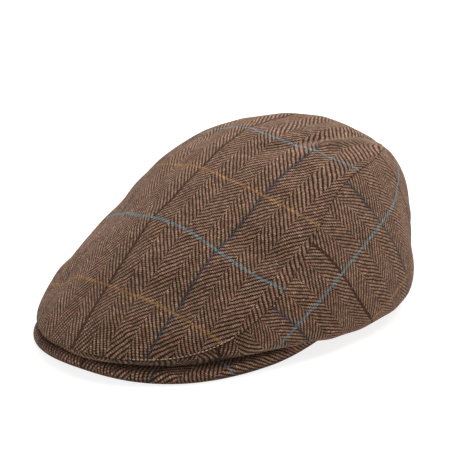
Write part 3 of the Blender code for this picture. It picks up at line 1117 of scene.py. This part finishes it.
angles = np.linspace(-math.pi, math.pi, top_columns, endpoint=False)
even = np.arange(top_rings) / top_rings
spread = edge_share * even + (1 - edge_share) * even ** 2
climbs = np.zeros((top_columns, top_rings))
from_seam = np.zeros((top_columns, top_rings))
band_height = np.zeros((top_columns, 1))
for i, angle in enumerate(angles):
    fine, _, lengths, seam = section_places(angle)
    start = seam - seam_overlap
    band_height[i] = seam
    from_seam[i] = spread * (lengths[-1] - start)
    climbs[i] = np.interp(start + from_seam[i], lengths, fine)
grid = np.repeat(angles[:, None], top_rings, axis=1)
plain = plain_crown(grid, climbs)
surface = crown(grid, climbs)
outward = way_out(crown, grid, climbs)
outward[:, :steady_ring - 1] = outward[:, steady_ring:steady_ring + 1]
print("top panel: %.0f mm of cloth from the front seam to the top" % (1000 * from_seam[top_columns // 2, -1]))

# %% Fold across the top
# The fold's crest and the two soft slopes beside it: height, place inside the fold line
# and width, in millimetres.
fold_profile = (
    (0.9, 0.0, 1.8),
    (1.6, 9.0, 8.0),
    (-0.8, -6.0, 5.0),
)
# The fold's crest is painted paler, for rubbed fibres and a painted highlight: where it begins and fades, its
# width and its strongest share.
crest_begins = (3.0, 16.0)
crest_fades = (60.0, 74.0)
crest_width = 1.7
crest_most = 0.6

inside, strength = fold_place(plain)
fold = sum(height * np.exp(-((inside - middle) / width) ** 2) for height, middle, width in fold_profile)
crest_share = smooth_step(1000 * plain[..., 1], *crest_begins)
crest_share = crest_share * (1 - smooth_step(1000 * plain[..., 1], *crest_fades))
top_fuzz_and_highlight = crest_most * crest_share * np.exp(-(inside / crest_width) ** 2)
print("fold: up to %.1f mm high" % (fold * strength).max())

# %% Both faces of the top panel
top_inner_step = 9

soft = slack_cloth(plain, 3) * smooth_step(from_seam, 0.0, slack_margin)
soft += 0.001 * fold * strength
soft += seam_lap * (1 - smooth_step(from_seam, 0.0, seam_lap_reach))
outer = surface + outward * (soft - rolled(from_seam, seam_roll))[..., None]
inner = (surface - cloth_wall * outward)[:, ::top_inner_step]
inner_rings = inner.shape[1]
top = crown(np.array([0.0]), np.array([2.0]))[0]
tops = [top, top - (0, 0, cloth_wall)]
points = np.concatenate([outer.reshape(-1, 3), inner.reshape(-1, 3), tops])
outer_cloth = top_cloth(plain)
inner_cloth = outer_cloth[:, ::top_inner_step]
top_point = top_cloth(plain_crown(np.array([0.0]), np.array([2.0])))
cloth = np.concatenate([outer_cloth.reshape(-1, 2), inner_cloth.reshape(-1, 2), top_point, top_point])
print("top panel: %d points outside, %d inside" % (outer.size // 3, inner.size // 3))

# %% Faces, painted shade and pale crest of the top panel
# The top's edge over the band is painted darker, as painted shade, for this far from the seam.
edge_shade = 0.42
edge_shade_reach = 0.022

under = top_columns * top_rings
outer_top = under + top_columns * inner_rings
faces = []
for i in range(top_columns):
    here = i * top_rings
    there = (i + 1) % top_columns * top_rings
    faces += [(here + j, there + j, there + j + 1, here + j + 1) for j in range(top_rings - 1)]
    faces.append((here + top_rings - 1, there + top_rings - 1, outer_top))
    below = under + i * inner_rings
    beside = under + (i + 1) % top_columns * inner_rings
    faces += [(below + j + 1, beside + j + 1, beside + j, below + j) for j in range(inner_rings - 1)]
    faces.append((beside + inner_rings - 1, below + inner_rings - 1, outer_top + 1))
    faces.append((there, here, below, beside))
over_band = 1 - smooth_step(band_height, *band_heights)
over_band = over_band * band_shown(angles)[:, None]
top_painted_shade = edge_shade * over_band * (1 - smooth_step(from_seam, 0.0, edge_shade_reach))
top_painted_shade += patch_painted_shade(plain)
rest = np.zeros(len(points) - top_fuzz_and_highlight.size)
painted_layers = [np.concatenate([values.ravel(), rest]) for values in (top_painted_shade, top_fuzz_and_highlight)]
top_piece = add_piece("top_cloth", points, faces, cloth, crown_tweed, *painted_layers)

# %% [markdown]
# ## The folded edge over the peak
# Over the peak the top panel ends in a folded edge. The fold spreads the twill, and its
# pale floats stand out there as a row of short dashes. A particle system could scatter
# them, but they sit one after another along the edge, so Geometry Nodes puts one float at
# each step along a line, varies its length a little and turns them all into one mesh.

# %% Floats along the folded edge
float_spacing = 0.0021
float_length = 0.0016
float_thickness = 0.00052
float_shortest = 0.65
float_longest = 1.2
float_angles = (math.radians(14), math.radians(33))
float_seed = 4
# The line lies on this ring of the top panel, just above the seam.
edge_points = 241
edge_ring = 2


def edge_line(name, places):
    """An open line of points as a mesh."""
    mesh = bpy.data.meshes.new(name)
    mesh.from_pydata(places.tolist(), [(i, i + 1) for i in range(len(places) - 1)], [])
    line = bpy.data.objects.new(name, mesh)
    bpy.context.scene.collection.objects.link(line)
    return line


def float_tree():
    """Geometry Nodes that lay short floats of yarn one after another along a line."""
    tree = bpy.data.node_groups.new("floats_along_edge", "GeometryNodeTree")
    tree.interface.new_socket("Line", in_out="INPUT", socket_type="NodeSocketGeometry")
    for name, kind in (
        ("Spacing", "NodeSocketFloat"),
        ("Length", "NodeSocketFloat"),
        ("Thickness", "NodeSocketFloat"),
        ("Shortest", "NodeSocketFloat"),
        ("Longest", "NodeSocketFloat"),
        ("Seed", "NodeSocketInt"),
        ("Yarn", "NodeSocketMaterial"),
    ):
        tree.interface.new_socket(name, in_out="INPUT", socket_type=kind)
    tree.interface.new_socket("Floats", in_out="OUTPUT", socket_type="NodeSocketGeometry")
    put = functools.partial(add, tree)
    given = put("NodeGroupInput", out=None).outputs
    curve = put("GeometryNodeMeshToCurve", {"Mesh": given["Line"]})
    steps = put(
        "GeometryNodeCurveToPoints", {"Curve": curve, "Length": given["Spacing"]},
        out=None, mode="LENGTH",
    ).outputs
    ball = put("GeometryNodeMeshIcoSphere", {"Radius": 0.5, "Subdivisions": 2}, out="Mesh")
    chance = {"Min": given["Shortest"], "Max": given["Longest"], "Seed": given["Seed"]}
    share = put("FunctionNodeRandomValue", chance, out="Value", data_type="FLOAT")
    long_way = put("ShaderNodeMath", {0: given["Length"], 1: share}, operation="MULTIPLY")
    size = put("ShaderNodeCombineXYZ", {0: given["Thickness"], 1: given["Thickness"], 2: long_way})
    placed = put(
        "GeometryNodeInstanceOnPoints",
        {"Points": steps["Points"], "Instance": ball, "Rotation": steps["Rotation"], "Scale": size},
    )
    solid = put("GeometryNodeRealizeInstances", {"Geometry": placed})
    smooth = put("GeometryNodeSetShadeSmooth", {0: solid})
    dressed = put("GeometryNodeSetMaterial", {"Geometry": smooth, "Material": given["Yarn"]})
    put("NodeGroupOutput", {"Floats": dressed}, out=None)
    return tree


def grown(line, tree, inputs):
    """Run a node tree on an object and keep its result as a plain mesh."""
    modifier = line.modifiers.new("nodes", "NODES")
    modifier.node_group = tree
    for item in tree.interface.items_tree:
        if item.name in inputs:
            modifier[item.identifier] = inputs[item.name]
    bpy.context.view_layer.update()
    seen = line.evaluated_get(bpy.context.evaluated_depsgraph_get())
    mesh = bpy.data.meshes.new_from_object(seen)
    line.modifiers.clear()
    line.data = mesh
    return line


pale_wool = bpy.data.materials.new("pale_wool_yarn")
pale_wool.use_nodes = True
yarn = pale_wool.node_tree.nodes["Principled BSDF"]
yarn.inputs["Base Color"].default_value = linear("#bda48b")
yarn.inputs["Roughness"].default_value = 0.95
yarn.inputs["Sheen Weight"].default_value = 0.14

edge_places = []
for angle in np.linspace(*float_angles, edge_points):
    column = (angle + math.pi) / (2 * math.pi) * top_columns
    low = int(column)
    share = column - low
    edge_places.append(outer[low, edge_ring] * (1 - share) + outer[low + 1, edge_ring] * share)
edge_sizes = {
    "Spacing": float_spacing,
    "Length": float_length,
    "Thickness": float_thickness,
    "Shortest": float_shortest,
    "Longest": float_longest,
    "Seed": float_seed,
    "Yarn": pale_wool,
}
edge_floats = grown(edge_line("edge_floats", np.array(edge_places)), float_tree(), edge_sizes)
print("edge floats: %d faces" % len(edge_floats.data.polygons))

# %% [markdown]
# ## The side panels
# Each side panel is a strip from the front seam to the back seam. Over the peak it is only
# a narrow band, in the shade of the top's folded edge, and behind the peak it rises over
# the ear. A strip could be bent with a curve, but its width changes all the way round. Each
# section is therefore a closed ring: the outer face, the inner face and the turned hem.

# %% Side panels
side_columns = 220
side_rows = 64
column_easing = 0.15
row_easing = 0.2
band_tuck = 0.0010
band_tuck_reach = 0.008
# The band over the peak, a line under the seam's lap and the lip over the gap are painted darker: painted
# shade.
band_shade = 0.95
band_shade_lift = 0.35
band_shade_from = 0.012
seam_shade = 0.8
seam_shade_reach = 0.001
lip_shade = 0.75
lip_shade_reach = 0.0013
# Above the side of the peak the cloth tucks in over the board and lies in its own shade, which is painted
# darker.
tucked_shade = 1.3
tucked_begins = (math.radians(24), math.radians(34))
tucked_fades = (math.radians(50), math.radians(58))
tucked_climbs = (0.62, 0.80)


def eased(count, edge):
    """Shares from 0 to 1 that lie closer together at both ends."""
    even = np.linspace(0, 1, count)
    return edge * even + (1 - edge) * smooth_step(even, 0.0, 1.0)


def side_wear(angles, climbs, from_rim, band):
    """How much painted shade a side panel takes at each point of its outer face."""
    to_seam = from_rim[:, -1:] - from_rim
    painted_shade = band_shade * band * (1 - band_shade_lift * smooth_step(from_rim, 0.0, band_shade_from))
    painted_shade += seam_shade * np.exp(-(to_seam / seam_shade_reach) ** 2)
    painted_shade *= 1 - band * (1 - band_shown(angles)[:, None])
    painted_shade += lip_shade * band * np.exp(-(from_rim / lip_shade_reach) ** 2)
    round_side = np.abs(angles)[:, None]
    tucked = smooth_step(round_side, *tucked_begins) * (1 - smooth_step(round_side, *tucked_fades))
    return painted_shade + tucked_shade * tucked * (1 - smooth_step(climbs, *tucked_climbs))


def side_piece(name, side):
    """One side panel, from the front seam to the back seam."""
    first = 0.0 if side > 0 else -math.pi
    angles = first + math.pi * eased(side_columns, column_easing)
    climbs = np.zeros((side_columns, side_rows))
    from_rim = np.zeros((side_columns, side_rows))
    for i, angle in enumerate(angles):
        fine, _, lengths, seam = section_places(angle)
        from_rim[i] = eased(side_rows, row_easing) * (seam + seam_overlap)
        climbs[i] = np.interp(from_rim[i], lengths, fine)
    grid = np.repeat(angles[:, None], side_rows, axis=1)
    surface = crown(grid, climbs)
    outward = way_out(crown, grid, climbs)
    outward[:, 1 - steady_ring:] = outward[:, -steady_ring:1 - steady_ring]
    to_seam = from_rim[:, -1:] - from_rim
    band = 1 - smooth_step(from_rim[:, -1:], *band_heights)
    tuck = band_tuck * band * (1 - smooth_step(from_rim, 0.0, band_tuck_reach))
    surface -= outward * tuck[..., None]
    clear = smooth_step(from_rim, 0.0, slack_margin) * smooth_step(to_seam, 0.0, slack_margin)
    soft = slack_cloth(plain_crown(grid, climbs), 5) * clear
    drop = np.maximum(rolled(to_seam, seam_roll), rolled(from_rim, rim_roll))
    drop = np.maximum(drop, rolled(np.abs(surface[..., 0]), seam_roll))
    outer = surface + outward * (soft - drop)[..., None]
    inner = surface - cloth_wall * outward
    tilt = crown_rim(angles)[2]
    foot = surface[:, 0] + hem_width * np.stack([-np.sin(angles), np.cos(angles), tilt], -1)
    ring = np.concatenate([outer, inner[:, :0:-1], foot[:, None]], axis=1)
    ring[..., 0] = side * np.maximum(side * ring[..., 0], 0.0)
    outer_cloth = side_cloth(angles, climbs, side)
    cloth = np.concatenate([outer_cloth, outer_cloth[:, :0:-1], outer_cloth[:, :1]], axis=1)
    painted_shade = np.zeros(ring.shape[:2])
    painted_shade[:, :side_rows] = side_wear(angles, climbs, from_rim, band)
    return add_piece(name, ring, ring_faces(*ring.shape[:2]), cloth, crown_tweed, painted_shade)


left_piece = side_piece("side_cloth_left", 1)
right_piece = side_piece("side_cloth_right", -1)

# %% [markdown]
# ## The peak
# The peak is a stiff board with its tweed drawn round the front edge. A slab with a Bevel
# modifier could stand for it, but the real one grows thinner and lifts towards its ends.
# Its sections are closed rings too: a flat underside, a round front edge and a flat top.

# %% Peak
peak_columns = 181
# The peak's own cloth map: what each place across and along the cut takes from the plan.
peak_cloth = ((1.0127, -0.1657, -24.64), (0.1657, 1.0127, 1.34))
peak_tuck_ahead = 118.0
peak_tuck_share = 0.5
arc_points = 31
face_points = 9
# How far round the front edge, in radians from below, the cloth is still in shade, which is painted darker.
peak_shade_turns = (1.25, 1.75)


def peak_sides(angles):
    """Reach of each point of the peak's sections, its share of the thickness and its turn."""
    edge = peak_edge(angles)
    under, over = peak_heights(angles, edge)
    inside = head_oval(angles, head_length / 2, head_width / 2)
    rounding = edge_roundness * (over - under)
    shoulder = edge - rounding
    level = np.ones_like(edge)
    flats = [inside + f * (shoulder - inside) for f in np.linspace(0, 1, face_points)[:-1]]
    rows = [(reach, 0 * level, -math.pi / 2 * level) for reach in flats]
    for turn in np.linspace(0, math.pi, arc_points):
        share = (1 - math.cos(turn)) / 2
        rows.append((shoulder + rounding * math.sin(turn), share * level, (turn - math.pi) * level))
    rows += [(reach, level, 0 * level) for reach in reversed(flats)]
    reach, share, turned = np.array(rows).transpose(1, 2, 0)
    return reach, share, turned, shoulder[:, None], (over - under)[:, None]


def peak_cloth_map(column, reach, share, turned, shoulder, thickness):
    """Place on the flat cloth of the peak's cover, which goes on round the front edge."""
    round_front = np.where(reach >= shoulder - 1e-9, -turned * thickness / 2, 0)
    ahead = np.minimum(reach, shoulder) + round_front
    ahead = np.where(share == 0, 2 * shoulder + math.pi * thickness / 2 - reach, ahead)
    plan = (ahead * np.sin(column), apex_behind_middle - ahead * np.cos(column))
    cloth = np.stack([
        1000 * (from_x * plan[0] + from_y * plan[1]) + offset for from_x, from_y, offset in peak_cloth
    ], -1)
    past = np.maximum(-cloth[..., 1] - peak_tuck_ahead, 0.0)
    cloth[..., 1] += (1 - peak_tuck_share) * past
    return cloth


def peak_piece():
    """The peak: a board with its cover drawn round the front edge."""
    angles = np.linspace(-peak_spread, peak_spread, peak_columns)
    column = angles[:, None]
    reach, share, turned, shoulder, thickness = peak_sides(angles)
    height = peak_heights(np.repeat(column, reach.shape[1], 1), reach)[0] + share * thickness
    points = np.stack([reach * np.sin(column), apex_behind_middle - reach * np.cos(column), height], -1)
    cloth = peak_cloth_map(column, reach, share, turned, shoulder, thickness)
    painted_shade = np.zeros(reach.shape)
    front = slice(face_points - 1, face_points - 1 + arc_points)
    painted_shade[:, front] = 1 - smooth_step(np.linspace(0, math.pi, arc_points), *peak_shade_turns)
    return add_piece("peak_cover", points, ring_faces(*reach.shape), cloth, peak_tweed, painted_shade)


peak_cover = peak_piece()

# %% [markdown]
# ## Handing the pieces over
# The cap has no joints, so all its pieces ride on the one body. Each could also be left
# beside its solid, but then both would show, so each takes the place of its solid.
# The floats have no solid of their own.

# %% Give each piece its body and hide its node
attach(edge_floats, "root")
for piece, node, slot in (
    (top_piece, "top_panel", "crown_tweed"),
    (left_piece, "side_panel_left", "crown_tweed"),
    (right_piece, "side_panel_right", "crown_tweed"),
    (peak_cover, "peak", "peak_tweed"),
):
    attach(piece, "root")
    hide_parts(node)
    print("%s takes the place of %s" % (piece.name, node))
